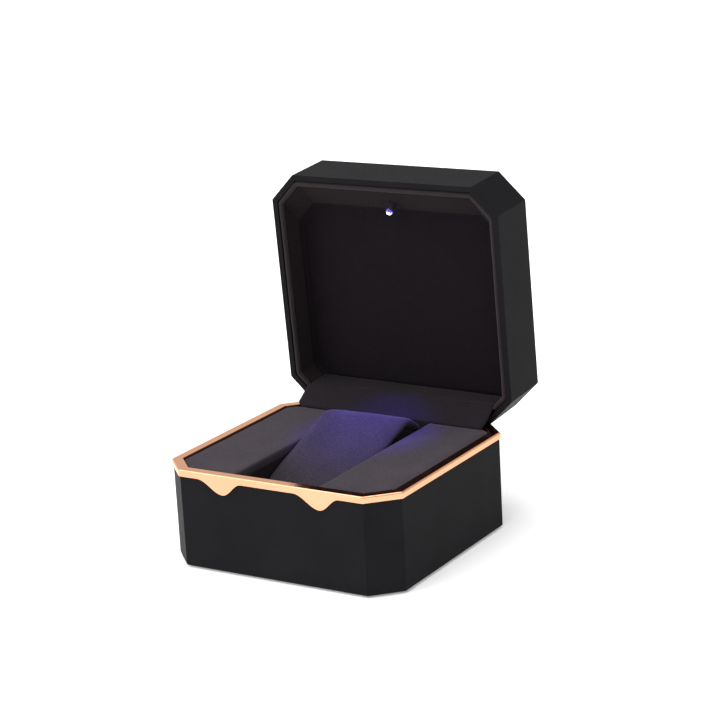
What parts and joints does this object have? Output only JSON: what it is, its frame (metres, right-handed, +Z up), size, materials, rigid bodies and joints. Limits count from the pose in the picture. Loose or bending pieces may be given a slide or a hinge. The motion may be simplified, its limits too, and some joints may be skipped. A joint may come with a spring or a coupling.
{
  "type": "jewellery presentation box",
  "caption": "Octagonal presentation box with an open hinged lid, a polished trim with drips, a padded insert with a sprung display tongue, and a lamp in the lid.",
  "frame": {"origin": "centre of the flat underside of the base, on the surface that the box stands on", "axes": "+Z up, +X to the right of someone facing the open box, -Y towards that person; the hinge runs along X at the back"},
  "size_m": [0.1, 0.1178, 0.1333],
  "materials": {
    "shell_black": "soft-touch matte black",
    "foot_felt": "short felt",
    "rose_gold": "polished rose gold plating",
    "tray_board": "plain pressed board",
    "suede_charcoal": "brushed suede cloth",
    "suede_violet": "brushed suede cloth under violet lamp light",
    "velvet_black": "fine black velvet",
    "spring_steel": "satin",
    "hinge_steel": "satin",
    "lining_board": "grey board",
    "lamp_lens": "clear water-white lens",
    "circuit_board": "green laminate",
    "holder_black": "moulded",
    "cell_case": "nickel plated",
    "contact_brass": "pressed",
    "button_white": "moulded",
    "wire_red": "flexible insulation"
  },
  "bodies": {
    "base": {"base_shell": "shell_black", "base_pad": "foot_felt", "trim_band": "rose_gold", "trim_frame": "rose_gold", "insert_tray": "tray_board", "left_pad": "suede_charcoal", "right_pad": "suede_charcoal", "channel_lining": "suede_charcoal", "tongue_anchor": "tray_board", "hinge_leaf_base": "hinge_steel", "hinge_pin": "hinge_steel", "snap_spring": "spring_steel", "hinge_screws_base": "hinge_steel", "hinge_strip": "suede_charcoal"},
    "tongue": {"tongue_cover": "suede_violet", "tongue_spring": "spring_steel"},
    "lid": {"lid_shell": "shell_black", "lid_lining": "suede_charcoal", "lid_rear_flap": "suede_charcoal", "lid_panel": "velvet_black", "panel_board": "lining_board", "hinge_leaf_lid": "hinge_steel", "hinge_screws_lid": "hinge_steel", "led_lamp": "lamp_lens", "led_board": "circuit_board", "battery_holder": "holder_black", "coin_cell": "cell_case", "battery_contact": "contact_brass", "switch_body": "holder_black", "lead_wires": "wire_red"},
    "plunger": {"switch_plunger": "button_white"}
  },
  "joints": [
    {"name": "lid_hinge", "type": "hinge", "parent": "base", "child": "lid", "pos_m": [0, 0.0465, 0.0378], "axis": [1, 0, 0], "range_deg": [0, 85.75], "deforming": ["hinge_strip"]},
    {"name": "tongue_flex", "type": "hinge", "parent": "base", "child": "tongue", "pos_m": [0, -0.0388, 0.02182], "axis": [1, 0, 0], "range_deg": [-5, 0], "stiffness_Nm_per_rad": 0.6, "springref_deg": 1.72},
    {"name": "plunger_slide", "type": "slide", "parent": "lid", "child": "plunger", "axis": [0, 0.9973, 0.0741], "range_m": [0, 0.0016]}
  ],
  "couplings": [
    {"joint": "plunger_slide", "follows": "lid_hinge", "m_per_rad": 0.001}
  ]
}
